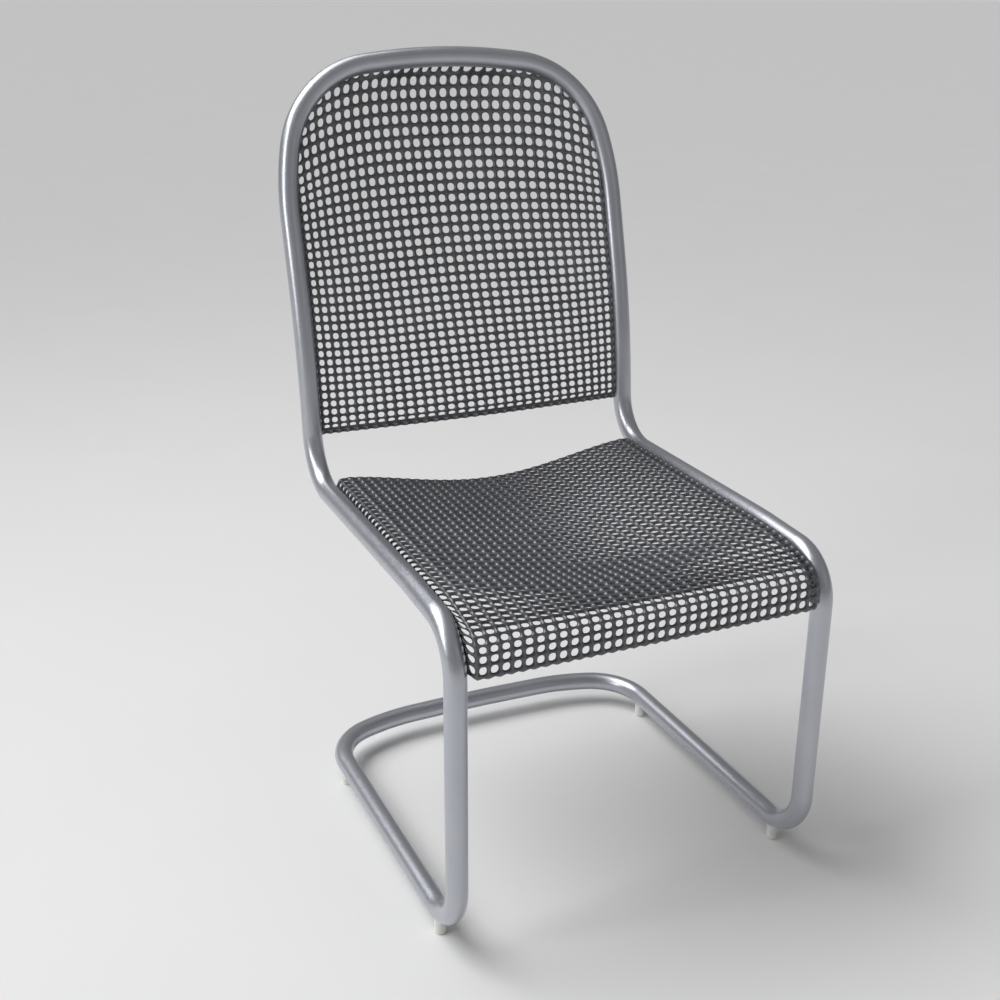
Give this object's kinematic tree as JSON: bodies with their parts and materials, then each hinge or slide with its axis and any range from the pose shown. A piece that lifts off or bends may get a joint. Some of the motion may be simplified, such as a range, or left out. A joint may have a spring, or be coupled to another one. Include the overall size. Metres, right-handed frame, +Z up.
{
  "type": "wire mesh chair",
  "caption": "Cantilever dining chair: a bent steel tube frame with a curved floor loop carries a pressed wire mesh seat and a dished wire mesh back.",
  "frame": {"origin": "on the floor, under the middle of the chair's bounding box", "axes": "+Z up, the sitter faces -Y, +X to the right of someone who stands in front of the chair's back and looks along +Y"},
  "size_m": [0.481, 0.6181, 0.9299],
  "materials": {
    "frame_tube": "satin powder coat",
    "joint_spigot": "bare",
    "wire_mesh": "satin powder coat",
    "glide": "moulded"
  },
  "bodies": {
    "root": {"side_tube_left": "frame_tube", "side_tube_right": "frame_tube", "back_arch_tube": "frame_tube", "rear_floor_tube": "frame_tube", "arch_spigot_left": "joint_spigot", "arch_spigot_right": "joint_spigot", "floor_spigot_left": "joint_spigot", "floor_spigot_right": "joint_spigot", "seat_mesh": "wire_mesh", "back_mesh": "wire_mesh", "glide_front_left": "glide", "glide_front_right": "glide", "glide_rear_left": "glide", "glide_rear_right": "glide"}
  },
  "joints": []
}
